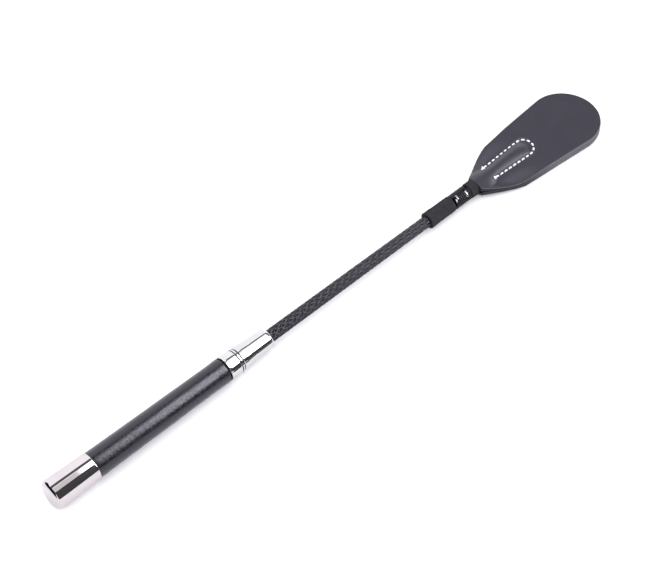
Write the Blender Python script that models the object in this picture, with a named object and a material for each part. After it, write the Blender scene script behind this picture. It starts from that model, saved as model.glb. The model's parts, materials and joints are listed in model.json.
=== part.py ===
"""A short riding crop: capped handle, braided shaft, bound neck and stitched leather popper.

The crop lies on a level surface with its popper pointing along +X, centred over the origin.
The long parts sit on one straight axis that runs slightly downhill, from the centre of the end cap
to the thin rod inside the popper; the popper itself lies flat.
"""
import math

import bmesh
import bpy
from mathutils import Matrix, Vector

MM = 0.001
GAP = 0.3                      # clearance between pieces that touch on the real crop
ROUND_STEPS = 40               # facets around the large round parts
SMALL_STEPS = 24               # facets around the small round parts

# Stations along the crop, measured from the butt.
LENGTH = 460.0
CAP_RIM_X = 32.4
TUBE_START_X = 4.6
TUBE_END_X = 146.2
GRIP_END_X = 137.7
COLLAR_END_X = 146.6
BARREL_END_X = 174.0
BUSH_END_X = 170.4
ROD_START_X = 58.0
BRAID_END_X = 348.0
SLEEVE_START_X = 311.0
SLEEVE_END_X = 332.4
WHIPPING_END_X = 347.0
NECK_END_X = 353.5
ROD_STEP_X = 348.6
SPIGOT_X = 384.0
SPIGOT_END_X = 395.0
TIP_CAP_END_X = 397.5

# Radii of the round parts.
CAP_RADIUS = 10.35
CAP_RIM_RADIUS = 9.75
CAP_FACE_RADIUS = 8.9
CAP_BORE = 8.1
TUBE_BUTT_RADIUS = 7.8
TUBE_FRONT_RADIUS = 7.0
TUBE_BORE = 5.2
COLLAR_RADIUS = 8.45
BARREL_BULGE_RADIUS = 8.15
BARREL_FRONT_RADIUS = 7.1
BARREL_BORE = 6.3
ROD_RADIUS = 3.4
ROD_NECK_RADIUS = 2.95
ROD_POCKET_RADIUS = 2.5
ROD_END_RADIUS = 2.0
SPIGOT_RADIUS = 1.1
TIP_CAP_RADIUS = 2.0
BRAID_REAR_RADIUS = 4.5
BRAID_FRONT_RADIUS = 4.0
NECK_BORE = 4.35
SLEEVE_RADIUS = 5.65
WHIPPING_RADIUS = 5.3
WHIPPING_TURNS = 14

# The popper: two layers of leather cut to one outline.
LEATHER = 2.9
POPPER_START_X = 353.8
SHOULDER_X = 385.8
SHOULDER_HALF_WIDTH = 19.6
WIDEST_X = 436.4
END_RADIUS = 23.6
NECK_INSET = 11.2
INSET_POWER = 1.7
FLEX_X = 412.0
FLEX_GAP = 2.2
POCKET_HALF_WIDTH = 6.8
POCKET_END_X = 398.0
POCKET_FADE = 7.0
POCKET_HEADROOM = 0.5
LAYER_EDGE = 0.3

# The stitching is a U that closes just short of the flex line.
STITCH_HALF_WIDTH = 6.6
STITCH_START_X = 367.0
STITCH_BEND_X = 401.4
THREAD_RADIUS = 0.45
THREAD_SINK = 0.1
UNDER_THREAD_HEIGHT = 0.55

# The axis of the round parts leaves the butt at this height and falls to the pocket height.
POCKET_AXIS_HEIGHT = 5.8
CAP_CONTACT_X = 2.0
PITCH = math.atan((CAP_RADIUS - POCKET_AXIS_HEIGHT) / POPPER_START_X)
BUTT_HEIGHT = CAP_RADIUS * math.cos(PITCH) + CAP_CONTACT_X * math.sin(PITCH)
CENTRE_X = (LENGTH - CAP_FACE_RADIUS * math.sin(PITCH)) / 2.0

CHROME = ("chrome", (0.82, 0.82, 0.84), 0.12, 1.0)
GRIP_LEATHER = ("grip_leather", (0.016, 0.017, 0.021), 0.42, 0.0)
POPPER_LEATHER = ("popper_leather", (0.085, 0.08, 0.096), 0.6, 0.0)
BRAID_NYLON = ("braid_nylon", (0.022, 0.023, 0.027), 0.5, 0.0)
NECK_TEXTILE = ("neck_textile", (0.014, 0.015, 0.019), 0.75, 0.0)
WAXED_THREAD = ("waxed_thread", (0.012, 0.012, 0.014), 0.35, 0.0)
STITCH_THREAD = ("stitch_thread", (0.78, 0.78, 0.78), 0.6, 0.0)
FIBREGLASS = ("fibreglass", (0.62, 0.6, 0.5), 0.4, 0.0)
BLACK_PLASTIC = ("black_plastic", (0.03, 0.03, 0.032), 0.45, 0.0)
WHITE_PLASTIC = ("white_plastic", (0.72, 0.71, 0.68), 0.5, 0.0)


def clear_scene():
    for item in list(bpy.data.objects):
        bpy.data.objects.remove(item, do_unlink=True)


def material(look):
    name, colour, roughness, metallic = look
    existing = bpy.data.materials.get(name)
    if existing is not None:
        return existing
    made = bpy.data.materials.new(name)
    made.use_nodes = True
    shader = made.node_tree.nodes["Principled BSDF"]
    shader.inputs["Base Color"].default_value = (*colour, 1.0)
    shader.inputs["Roughness"].default_value = roughness
    shader.inputs["Metallic"].default_value = metallic
    made.diffuse_color = (*colour, 1.0)
    return made


def new_object(name, mesh, look, parent=None):
    item = bpy.data.objects.new(name, mesh)
    bpy.context.scene.collection.objects.link(item)
    if look is not None:
        mesh.materials.append(material(look))
    item.parent = parent
    return item


def line(x, x0, v0, x1, v1):
    """Value at x on the straight line through (x0, v0) and (x1, v1)."""
    return v0 + (v1 - v0) * (x - x0) / (x1 - x0)


def placed(x, y, z):
    """World position of a point given by its station, side offset and height in millimetres."""
    return Vector(((x - CENTRE_X) * MM, y * MM, z * MM))


FLEX_POINT = placed(FLEX_X, 0.0, LEATHER + GAP / 2.0)   # the popper folds about its middle


def axis_height(x):
    """Height of the crop's long axis above the resting surface at station x."""
    return BUTT_HEIGHT - x * math.tan(PITCH)


def turned(name, section, look, parent, steps=ROUND_STEPS):
    """Turn a section of (station, radius) points about the long axis with a Screw modifier.

    The section starts at its far end, runs back along the outside to the butt side and, for a
    hollow part, returns along the bore; a point on the axis closes a solid end.
    """
    mesh = bpy.data.meshes.new(name)
    points = [(radius * MM, 0.0, station * MM) for station, radius in section]
    solid = section[0][1] == 0.0 and section[-1][1] == 0.0
    edges = [(i, i + 1) for i in range(len(points) - 1)]
    if not solid:
        edges.append((len(points) - 1, 0))
    mesh.from_pydata(points, edges, [])
    item = new_object(name, mesh, look, parent)
    item.rotation_euler = (0.0, math.pi / 2.0, 0.0)
    screw = item.modifiers.new("turn", "SCREW")
    screw.axis = "Z"
    screw.angle = math.tau
    screw.steps = steps
    screw.render_steps = steps
    screw.use_merge_vertices = True
    screw.merge_threshold = 0.00001
    screw.use_smooth_shade = True
    return item


def tube_radius(x):
    return line(x, TUBE_START_X, TUBE_BUTT_RADIUS, TUBE_END_X, TUBE_FRONT_RADIUS)


def build_handle(axis):
    turned("end_cap", [
        (CAP_RIM_X, CAP_RIM_RADIUS - 0.25),
        (CAP_RIM_X - 0.25, CAP_RIM_RADIUS),
        (CAP_RIM_X - 1.4, CAP_RIM_RADIUS),
        (CAP_RIM_X - 12.0, CAP_RADIUS - 0.32),
        (10.0, CAP_RADIUS - 0.08),
        (CAP_CONTACT_X, CAP_RADIUS),
        (1.1, CAP_RADIUS - 0.22),
        (0.4, CAP_RADIUS - 0.75),
        (0.0, CAP_FACE_RADIUS),
        (0.0, 0.0),
        (2.0, 0.0),
        (2.0, CAP_BORE),
        (CAP_RIM_X, CAP_BORE),
    ], CHROME, axis)
    turned("butt_plug", [
        (24.0, 0.0),
        (24.0, TUBE_BORE - GAP - 0.6),
        (22.5, TUBE_BORE - GAP),
        (TUBE_START_X - GAP, TUBE_BORE - GAP),
        (TUBE_START_X - GAP, TUBE_BUTT_RADIUS - 0.1),
        (2.0 + GAP, TUBE_BUTT_RADIUS - 0.1),
        (2.0 + GAP, 0.0),
    ], BLACK_PLASTIC, axis, SMALL_STEPS)
    turned("handle_tube", [
        (TUBE_END_X, TUBE_FRONT_RADIUS),
        (TUBE_START_X, TUBE_BUTT_RADIUS),
        (TUBE_START_X, TUBE_BORE),
        (TUBE_END_X, TUBE_BORE),
    ], WHITE_PLASTIC, axis, SMALL_STEPS)
    turned("grip_cover", [
        (GRIP_END_X, 8.1),
        (GRIP_END_X - 0.5, 8.4),
        (GRIP_END_X - 2.4, 8.5),
        (GRIP_END_X - 5.5, 8.35),
        (GRIP_END_X - 9.5, 8.25),
        (110.0, 8.38),
        (75.0, 8.75),
        (CAP_RIM_X + GAP, 9.15),
        (CAP_RIM_X + GAP, tube_radius(CAP_RIM_X + GAP) + GAP),
        (GRIP_END_X, tube_radius(GRIP_END_X) + GAP),
    ], GRIP_LEATHER, axis)
    turned("rod_rear_bush", [
        (80.0, TUBE_BORE - GAP),
        (60.0, TUBE_BORE - GAP),
        (60.0, ROD_RADIUS + GAP),
        (80.0, ROD_RADIUS + GAP),
    ], BLACK_PLASTIC, axis, SMALL_STEPS)


def build_ferrule(axis):
    middle = (GRIP_END_X + COLLAR_END_X) / 2.0
    start = GRIP_END_X + GAP
    turned("ferrule_collar", [
        (COLLAR_END_X, COLLAR_RADIUS - 0.75),
        (COLLAR_END_X - 0.5, COLLAR_RADIUS - 0.25),
        (COLLAR_END_X - 1.6, COLLAR_RADIUS - 0.03),
        (middle, COLLAR_RADIUS),
        (start + 1.2, COLLAR_RADIUS),
        (start + 0.3, COLLAR_RADIUS - 0.15),
        (start, COLLAR_RADIUS - 0.45),
        (start, TUBE_FRONT_RADIUS + GAP + 0.1),
        (COLLAR_END_X, TUBE_FRONT_RADIUS + GAP + 0.1),
    ], CHROME, axis)
    back = COLLAR_END_X + GAP
    mouth = BRAID_REAR_RADIUS + GAP
    turned("ferrule_barrel", [
        (BARREL_END_X, mouth),
        (BARREL_END_X, 5.7),
        (BARREL_END_X - 0.35, 6.35),
        (BARREL_END_X - 1.1, 6.85),
        (BARREL_END_X - 2.4, BARREL_FRONT_RADIUS),
        (167.0, 7.16),
        (162.0, 7.32),
        (157.5, 7.75),
        (154.0, 8.05),
        (151.0, BARREL_BULGE_RADIUS),
        (148.6, 8.0),
        (back + 0.4, 7.75),
        (back, 7.5),
        (back, BARREL_BORE),
        (BUSH_END_X + GAP, BARREL_BORE),
        (BUSH_END_X + GAP, mouth),
    ], CHROME, axis)
    turned("ferrule_bush", [
        (BUSH_END_X, BARREL_BORE - GAP),
        (TUBE_END_X + GAP, BARREL_BORE - GAP),
        (TUBE_END_X + GAP, TUBE_BORE - GAP),
        (118.0, TUBE_BORE - GAP),
        (118.0, ROD_RADIUS + GAP),
        (BUSH_END_X, ROD_RADIUS + GAP),
    ], BLACK_PLASTIC, axis, SMALL_STEPS)


def build_shaft(axis):
    turned("shaft_rod", [
        (SPIGOT_END_X, 0.0),
        (SPIGOT_END_X, SPIGOT_RADIUS),
        (SPIGOT_X, SPIGOT_RADIUS),
        (SPIGOT_X, ROD_END_RADIUS),
        (ROD_STEP_X + 2.0, ROD_POCKET_RADIUS),
        (ROD_STEP_X, ROD_NECK_RADIUS),
        (BARREL_END_X, ROD_RADIUS),
        (ROD_START_X, ROD_RADIUS),
        (ROD_START_X, 0.0),
    ], FIBREGLASS, axis, SMALL_STEPS)
    turned("rod_tip_cap", [
        (TIP_CAP_END_X, 0.0),
        (TIP_CAP_END_X, TIP_CAP_RADIUS - 0.6),
        (TIP_CAP_END_X - 0.6, TIP_CAP_RADIUS),
        (SPIGOT_X + GAP, TIP_CAP_RADIUS),
        (SPIGOT_X + GAP, SPIGOT_RADIUS + GAP),
        (SPIGOT_END_X + GAP, SPIGOT_RADIUS + GAP),
        (SPIGOT_END_X + GAP, 0.0),
    ], BLACK_PLASTIC, axis, SMALL_STEPS)
    rear = BUSH_END_X + GAP
    turned("shaft_braid", [
        (BRAID_END_X, BRAID_FRONT_RADIUS),
        (SLEEVE_START_X, BRAID_FRONT_RADIUS),
        (BARREL_END_X, BRAID_REAR_RADIUS),
        (rear, BRAID_REAR_RADIUS),
        (rear, ROD_RADIUS + GAP),
        (BARREL_END_X, ROD_RADIUS + GAP),
        (BRAID_END_X, ROD_NECK_RADIUS + GAP),
    ], BRAID_NYLON, axis, SMALL_STEPS)


def build_neck(axis):
    turned("neck_sleeve", [
        (SLEEVE_END_X, WHIPPING_RADIUS - 0.3),
        (SLEEVE_END_X - 0.4, WHIPPING_RADIUS - 0.05),
        (SLEEVE_END_X - 6.0, WHIPPING_RADIUS - 0.02),
        (SLEEVE_START_X + 7.0, 5.42),
        (SLEEVE_START_X + 1.2, SLEEVE_RADIUS),
        (SLEEVE_START_X + 0.3, SLEEVE_RADIUS - 0.2),
        (SLEEVE_START_X, SLEEVE_RADIUS - 0.6),
        (SLEEVE_START_X, NECK_BORE),
        (SLEEVE_END_X, NECK_BORE),
    ], NECK_TEXTILE, axis, SMALL_STEPS)
    start = SLEEVE_END_X + GAP
    pitch = (WHIPPING_END_X - start) / WHIPPING_TURNS
    section = []
    for turn in range(WHIPPING_TURNS):
        front = WHIPPING_END_X - turn * pitch
        section.append((front, WHIPPING_RADIUS - 0.3))
        section.append((front - pitch * 0.25, WHIPPING_RADIUS))
        section.append((front - pitch * 0.75, WHIPPING_RADIUS))
    section.append((start, WHIPPING_RADIUS - 0.3))
    section.append((start, NECK_BORE))
    section.append((WHIPPING_END_X, NECK_BORE))
    turned("neck_whipping", section, WAXED_THREAD, axis, SMALL_STEPS)
    start = WHIPPING_END_X + GAP
    turned("neck_band", [
        (NECK_END_X, WHIPPING_RADIUS - 0.3),
        (NECK_END_X - 0.5, WHIPPING_RADIUS + 0.05),
        (start + 0.5, WHIPPING_RADIUS + 0.05),
        (start, WHIPPING_RADIUS - 0.2),
        (start, NECK_BORE),
        (NECK_END_X, NECK_BORE),
    ], NECK_TEXTILE, axis, SMALL_STEPS)


def half_width(x):
    """Half the popper's width at station x."""
    if x > WIDEST_X:
        reach = min((x - WIDEST_X) / END_RADIUS, 1.0)
        return END_RADIUS * math.sqrt(1.0 - reach * reach)
    width = line(x, SHOULDER_X, SHOULDER_HALF_WIDTH, WIDEST_X, END_RADIUS)
    if x < SHOULDER_X:
        ahead = (SHOULDER_X - x) / (SHOULDER_X - POPPER_START_X)
        width -= NECK_INSET * ahead ** INSET_POWER
    return width


def pocket_height(x, y):
    """How far the upper layer is lifted over the rod at (x, y)."""
    across = abs(y) / POCKET_HALF_WIDTH
    if across >= 1.0:
        return 0.0
    crest = axis_height(x) + line(x, POPPER_START_X, ROD_POCKET_RADIUS, SPIGOT_X, ROD_END_RADIUS)
    crest += POCKET_HEADROOM - LEATHER - GAP
    if x > POCKET_END_X:
        ahead = min((x - POCKET_END_X) / POCKET_FADE, 1.0)
        crest *= 1.0 - ahead * ahead * (3.0 - 2.0 * ahead)
    return crest * (1.0 - across * across) ** 2


def rise(item, thickness):
    """Give a surface its leather thickness, measured upwards."""
    solid = item.modifiers.new("thickness", "SOLIDIFY")
    solid.thickness = thickness * MM
    solid.offset = 1.0
    solid.use_even_offset = True
    return solid


def round_rim(item):
    bevel = item.modifiers.new("rim", "BEVEL")
    bevel.width = LAYER_EDGE * MM
    bevel.segments = 1
    bevel.limit_method = "ANGLE"
    bevel.angle_limit = math.radians(50.0)
    return bevel


def plate(name, stations, height):
    """One flat leather layer with the popper's outline over the given stations."""
    mesh = bpy.data.meshes.new(name)
    net = bmesh.new()
    right = [(x, -half_width(x)) for x in stations]
    left = [(x, half_width(x)) for x in reversed(stations) if half_width(x) > 0.01]
    ring = [net.verts.new(placed(x, y, height)) for x, y in right + left]
    net.faces.new(ring)
    net.to_mesh(mesh)
    net.free()
    item = new_object(name, mesh, POPPER_LEATHER)
    rise(item, LEATHER)
    round_rim(item)
    return item


def raised_layer(name, stations, columns, height):
    """The upper layer over the rod: a net of leather lifted into a soft ridge."""
    mesh = bpy.data.meshes.new(name)
    net = bmesh.new()
    rows = []
    for x in stations:
        row = []
        for column in range(columns + 1):
            share = -1.0 + 2.0 * column / columns
            y = half_width(x) * math.copysign(abs(share) ** 1.4, share)
            z = height + pocket_height(x, y)
            row.append(net.verts.new(placed(x, y, z)))
        rows.append(row)
    for near, far in zip(rows, rows[1:]):
        for i in range(columns):
            net.faces.new((near[i], far[i], far[i + 1], near[i + 1]))
    net.to_mesh(mesh)
    net.free()
    item = new_object(name, mesh, POPPER_LEATHER)
    rise(item, LEATHER)
    for face in mesh.polygons:
        face.use_smooth = True
    return item


def stitch_path(height_at):
    """Centre line of the U of stitching, as points at the given heights."""
    points = []
    for i in range(8):
        points.append((line(i, 0, STITCH_START_X, 7, STITCH_BEND_X), -STITCH_HALF_WIDTH))
    for i in range(1, 12):
        angle = -math.pi / 2.0 + math.pi * i / 12.0
        x = STITCH_BEND_X + STITCH_HALF_WIDTH * math.cos(angle)
        points.append((x, STITCH_HALF_WIDTH * math.sin(angle)))
    for i in range(8):
        points.append((line(i, 0, STITCH_BEND_X, 7, STITCH_START_X), STITCH_HALF_WIDTH))
    return [placed(x, y, height_at(x, y)) for x, y in points]


def swept(name, points, radius, look, facets=8, reach=0.0):
    """A round cord along a level path, with its two ends closed flat."""
    points = list(points)
    points[0] = points[0] + (points[0] - points[1]).normalized() * reach * MM
    points[-1] = points[-1] + (points[-1] - points[-2]).normalized() * reach * MM
    net = bmesh.new()
    rings = []
    for i, point in enumerate(points):
        before = points[max(i - 1, 0)]
        after = points[min(i + 1, len(points) - 1)]
        ahead = (after - before).normalized()
        side = Vector((0.0, 0.0, 1.0)).cross(ahead).normalized()
        above = ahead.cross(side)
        ring = []
        for facet in range(facets):
            angle = math.tau * facet / facets
            offset = side * math.cos(angle) + above * math.sin(angle)
            ring.append(net.verts.new(point + offset * radius * MM))
        rings.append(ring)
    for near, far in zip(rings, rings[1:]):
        for i in range(facets):
            j = (i + 1) % facets
            net.faces.new((near[i], near[j], far[j], far[i]))
    net.faces.new(list(reversed(rings[0])))
    net.faces.new(rings[-1])
    mesh = bpy.data.meshes.new(name)
    net.to_mesh(mesh)
    net.free()
    for face in mesh.polygons:
        face.use_smooth = len(face.vertices) == 4
    return new_object(name, mesh, look)


def cut_groove(layer, name, points):
    """Sink a groove for the stitching into a leather layer."""
    cutter = swept(name, points, THREAD_RADIUS + GAP, None, facets=8, reach=GAP)
    cutter.display_type = "WIRE"
    cutter.hide_render = True
    cut = layer.modifiers.new("stitch_groove", "BOOLEAN")
    cut.operation = "DIFFERENCE"
    cut.solver = "EXACT"
    cut.object = cutter


def build_popper():
    root_end = FLEX_X - FLEX_GAP / 2.0
    flap_start = FLEX_X + FLEX_GAP / 2.0
    neck = [line(i, 0, POPPER_START_X, 26, root_end) for i in range(27)]
    straight = [line(i, 0, flap_start, 3, WIDEST_X) for i in range(4)]
    tip = [WIDEST_X + END_RADIUS * math.sin(math.pi / 2.0 * i / 14.0) for i in range(1, 15)]
    upper = LEATHER + GAP

    top_root = raised_layer("popper_top_root", neck, 20, upper)
    bottom_root = plate("popper_bottom_root", neck, 0.0)
    top_flap = plate("popper_top_flap", straight + tip, upper)
    bottom_flap = plate("popper_bottom_flap", straight + tip, 0.0)
    for flap in (top_flap, bottom_flap):
        flap.data.transform(Matrix.Translation(-FLEX_POINT))
        flap.location = FLEX_POINT

    on_top = stitch_path(lambda x, y: upper + pocket_height(x, y) + LEATHER + THREAD_SINK)
    below = stitch_path(lambda x, y: UNDER_THREAD_HEIGHT)
    swept("stitch_thread_top", on_top, THREAD_RADIUS, STITCH_THREAD)
    swept("stitch_thread_under", below, THREAD_RADIUS, STITCH_THREAD)
    cut_groove(top_root, "top_groove", on_top)
    cut_groove(bottom_root, "under_groove", below)


def main():
    clear_scene()
    axis = bpy.data.objects.new("long_axis", None)
    bpy.context.scene.collection.objects.link(axis)
    axis.location = placed(0.0, 0.0, BUTT_HEIGHT)
    axis.rotation_euler = (0.0, PITCH, 0.0)
    build_handle(axis)
    build_ferrule(axis)
    build_shaft(axis)
    build_neck(axis)
    build_popper()


main()
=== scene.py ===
"""A riding crop lying on a pale surface: chrome cap and ferrule, leather grip, braided shaft,
bound neck and a stitched two-layer leather popper. Lengths are in metres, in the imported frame."""
import functools
import json
import math

import bmesh
import bpy
from mathutils import Matrix, Vector, noise


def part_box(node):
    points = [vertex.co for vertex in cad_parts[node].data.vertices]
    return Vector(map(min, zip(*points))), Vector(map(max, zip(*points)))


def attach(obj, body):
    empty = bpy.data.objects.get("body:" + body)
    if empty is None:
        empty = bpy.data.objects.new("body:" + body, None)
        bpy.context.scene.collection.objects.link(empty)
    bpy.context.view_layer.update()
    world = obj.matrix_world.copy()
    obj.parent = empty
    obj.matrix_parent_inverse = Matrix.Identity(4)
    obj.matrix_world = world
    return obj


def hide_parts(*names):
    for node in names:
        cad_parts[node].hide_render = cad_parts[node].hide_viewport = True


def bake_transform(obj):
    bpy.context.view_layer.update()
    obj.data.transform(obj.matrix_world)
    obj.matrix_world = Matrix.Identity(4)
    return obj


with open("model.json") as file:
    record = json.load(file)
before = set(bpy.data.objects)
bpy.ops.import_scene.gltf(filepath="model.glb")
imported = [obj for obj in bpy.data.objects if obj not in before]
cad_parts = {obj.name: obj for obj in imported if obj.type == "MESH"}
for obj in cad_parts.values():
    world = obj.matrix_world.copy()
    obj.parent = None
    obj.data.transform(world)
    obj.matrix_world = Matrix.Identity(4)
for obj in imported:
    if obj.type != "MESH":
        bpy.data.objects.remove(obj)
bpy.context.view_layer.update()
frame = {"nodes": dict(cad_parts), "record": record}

MM = 0.001

# Viewpoint.
CAMERA_AZIMUTH = -41.78
CAMERA_ELEVATION = 55.75
CAMERA_DISTANCE = 1.53
CAMERA_FOCAL = 132.9
CAMERA_SENSOR = 36.0
CAMERA_AIM_RIGHT = -6.0 * MM
CAMERA_AIM_UP = 1.5 * MM
CAMERA_AIM_HEIGHT = 8.0 * MM

ROUND = 128                    # facets round the metal parts
SLENDER = 72                   # facets round the cover beneath the braid
GUARD = 0.12 * MM              # spacing of the loops that hold a flat face flat beside a rounded edge

# Handle details.
CAP_CORNER = 2.9 * MM
CAP_TAPER = 0.6 * MM
CAP_TAPER_AT_BAND = 0.72       # share of the taper already reached where the front band starts
CAP_BAND = 9.0 * MM            # length of the plain band at each end of the cap
CAP_LIP = 0.45 * MM
CAP_WALL = 2.25 * MM
CAP_FLOOR = 2.0 * MM
GRIP_FACETS = 192
GRIP_RINGS = 0.8 * MM          # spacing of the rings of its mesh
GRIP_TAPER_POWER = 0.8
GRIP_STEP = 0.2 * MM           # how far the leather's front end lies below the collar
GRIP_SWELL = 0.25 * MM
GRIP_SWELL_START = 0.9         # as a share of the grip's length
GRIP_SWELL_REACH = 0.08
GRIP_RIPPLE = 0.06 * MM
GRIP_PINCH = 0.15 * MM         # how far the leather is pressed in beside the cap
GRIP_PINCH_REACH = 1.2 * MM
GRIP_GAP = 1.0 * MM            # shadow gap between the leather and the ferrule's collar
JOINT_DEPTH = 0.2 * MM         # how far the black ring of painted shade sits below the metal at the joints
SEAM_ANGLE = math.radians(150.0)
SEAM_DEPTH = 0.22 * MM
SEAM_WIDTH = 0.35 * MM
BARREL_WALL = 1.85 * MM
BARREL_LIP = 1.5 * MM          # width of the lip behind the groove in the barrel
BARREL_GROOVE_END = 2.4 * MM

# Braid: yarns in each direction, their lay and their section.
BRAID_YARNS = 16
BRAID_LAY = 96.0 * MM
YARN_WIDTH = 1.22 * MM
YARN_THICKNESS = 0.8 * MM
YARN_WAVE = 0.36 * MM          # how far a yarn rises over and dips under the yarns it crosses
YARN_FACETS = 8
BRAID_BELOW_SLEEVE = 1.6 * MM

# Neck: ribbed tape and a whipping of thick thread.
TAPE_FACETS = 204
TAPE_RINGS = 0.45 * MM
TAPE_RIBS = 34
RIB_HEIGHT = 0.16 * MM
FRAY = 0.18 * MM
THREAD = 1.35 * MM
THREAD_FACETS = 10
WHIPPING_TURNS = 9
STEPS_PER_TURN = 48

# Popper. Distances along it are measured from its neck end.
SHOULDER_LENGTH = 29.0 * MM
SHOULDER_SHARE = 0.83
NECK_INSET = 11.2 * MM
INSET_POWER = 1.4
DRIFT = (0.7 * MM, 0.8 * MM)   # sideways lean of the whole popper at its neck and at its free end
DRIFT_REACH = 30.0 * MM
FULLNESS = 1.01                # how much wider the leather is than its pattern
SKEW = 0.07                    # how much further the -Y side of the free end reaches
CREST_AT_NECK = 10.5 * MM
CREST_FALL = 1.1 * MM
RIDGE_LENGTH = 49.0 * MM
RIDGE_FADE = 9.0 * MM
RIDGE_SPREAD = 4.0 * MM        # how much wider each side of the ridge is at the neck
RIDGE_SPREAD_REACH = 20.0 * MM
RIM = 0.8 * MM                 # rounding of the cut edges
EDGE_BULGE = 1.08              # how far the middle of a cut edge stands out, in rims
EDGE_ROUNDING = 0.8            # height of its rounded corners, in rims

# Heights at the popper's outer edge, and how the two layers change along it.
SHOULDER_TOP = 5.5 * MM
NECK_TOP_RISE = (1.0 * MM, 3.4 * MM)     # on the +Y and the -Y edge
NECK_TOP_REACH = 22.0 * MM
TIP_TOP_RISE = 1.8 * MM
SKIVE_START = 26.0 * MM
SKIVE_END = 52.0 * MM
CRADLE_RISE = (0.8 * MM, 3.3 * MM)       # on the +Y and the -Y edge
CRADLE_REACH = 38.0 * MM
SKIVED = 2.4 * MM
FULL_LEATHER = 3.9 * MM
LAYER_GAP = 0.35 * MM
MIDDLE_LEVEL = 7.1 * MM        # height of the leather beside the ridge
FLOOR_GAP = 0.12 * MM

# Stitching.
STITCH_NECK_HALF = 5.7 * MM
STITCH_HALF = 6.6 * MM
STITCH_SHIFT = 0.95 * MM
STITCH_START = 14.2 * MM
STITCH_BEND = 46.0 * MM
STITCH_PITCH = 3.9 * MM
STITCH_LENGTH = 2.1 * MM
STITCH_WIDTH = 1.35 * MM
STITCH_THICKNESS = 1.0 * MM
STITCH_BOW = 0.6               # rise of a stitch's middle over its ends, in thicknesses
STITCH_ARCH = 0.6              # below 1, a stitch is flatter along its middle
STITCH_SUNK = 0.5              # depth of its ends in the leather, in thicknesses
STITCH_FACETS = 10
STITCH_DENT = 0.55 * MM
STITCH_DENT_WIDTH = 1.0 * MM

# Studio. Cards stand round the long axis: each is a run of (x, first angle, last angle), the
# angles in degrees in the YZ plane from +Y.
SKY_STRENGTH = 1.75
CARD_DISTANCE = 0.6
SOFTBOX_DISTANCE = 1.05 * CARD_DISTANCE
SOFTBOX_GLOW = 9.0
SOFTBOX = ((-0.7, 84.0, 150.0), (0.05, 84.0, 150.0), (0.056, 93.0, 143.0), (0.145, 93.0, 143.0),
           (0.152, 84.0, 150.0), (0.315, 84.0, 150.0), (0.345, 117.0, 160.0), (1.1, 117.0, 160.0))
REAR_GLOW = 1.1
REAR_FADE = (0.0, 0.03)        # x over which the softbox rises from its rear glow to its full one
SIDE_GLOW = 3.0
SIDE_PANEL = ((0.35, -15.0, 29.0), (1.1, -15.0, 29.0))
BAR_GLOW = 0.16
FRAME_BAR = ((-0.7, 61.0, 80.0), (0.012, 62.0, 79.5), (0.05, 71.5, 77.0), (0.15, 56.5, 71.0),
             (0.31, 58.0, 70.0), (0.34, 60.0, 118.0), (1.1, 60.0, 118.0))
FLAG_GLOW = 0.07
FRONT_FLAG = ((-0.7, 114.0, 172.0), (0.012, 115.0, 172.0), (0.048, 136.0, 172.0),
              (0.14, 146.0, 179.0), (1.1, 150.0, 179.0))

# Black cards. The end card stands on the floor along a run of plan positions; the low flag lies
# just above the floor, and these are its corners in plan.
END_CARD = ((-0.45, -0.15), (-0.45, 0.3), (-0.26, 0.55))
END_CARD_HEIGHT = 0.36
LOW_FLAG = ((-0.07, -0.6), (0.19, -0.6), (0.19, -0.055), (-0.07, -0.055))
LOW_FLAG_HEIGHT = 0.5 * MM
FLOOR_HALF = 4.0

# Colours used more than once.
COOL_SHEEN = (0.9, 0.89, 1.0, 1.0)
CARD_BLACK = (0.01, 0.01, 0.012)
PAPER = (0.93, 0.93, 0.935)


# ---- frame

def mount(name):
    """The record's mount of that name."""
    return next(item for item in frame["record"]["mounts"] if item["name"] == name)


BUTT = Vector(mount("butt_face")["pos_m"])
ALONG = -Vector(mount("butt_face")["axis"]).normalized()
SIDE = Vector((0.0, 1.0, 0.0))
ABOVE = ALONG.cross(SIDE)


@functools.lru_cache(None)
def span(node):
    """Stations where a CAD node starts and ends, measured from the butt along the crop."""
    low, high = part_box(node)
    return low.x - BUTT.x, high.x - BUTT.x


@functools.lru_cache(None)
def radius_of(node):
    """Largest radius of a round CAD node."""
    low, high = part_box(node)
    return (high.y - low.y) / 2.0


def on_axis(station, radius, angle):
    """A point about the long axis; angle 0 is on top, a right angle is on the +Y side."""
    return BUTT + ALONG * station + (ABOVE * math.cos(angle) + SIDE * math.sin(angle)) * radius


def smooth(value):
    """A soft step from 0 to 1."""
    value = min(max(value, 0.0), 1.0)
    return value * value * (3.0 - 2.0 * value)


def mix(a, b, share):
    return a + (b - a) * share


# ---- materials

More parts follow.
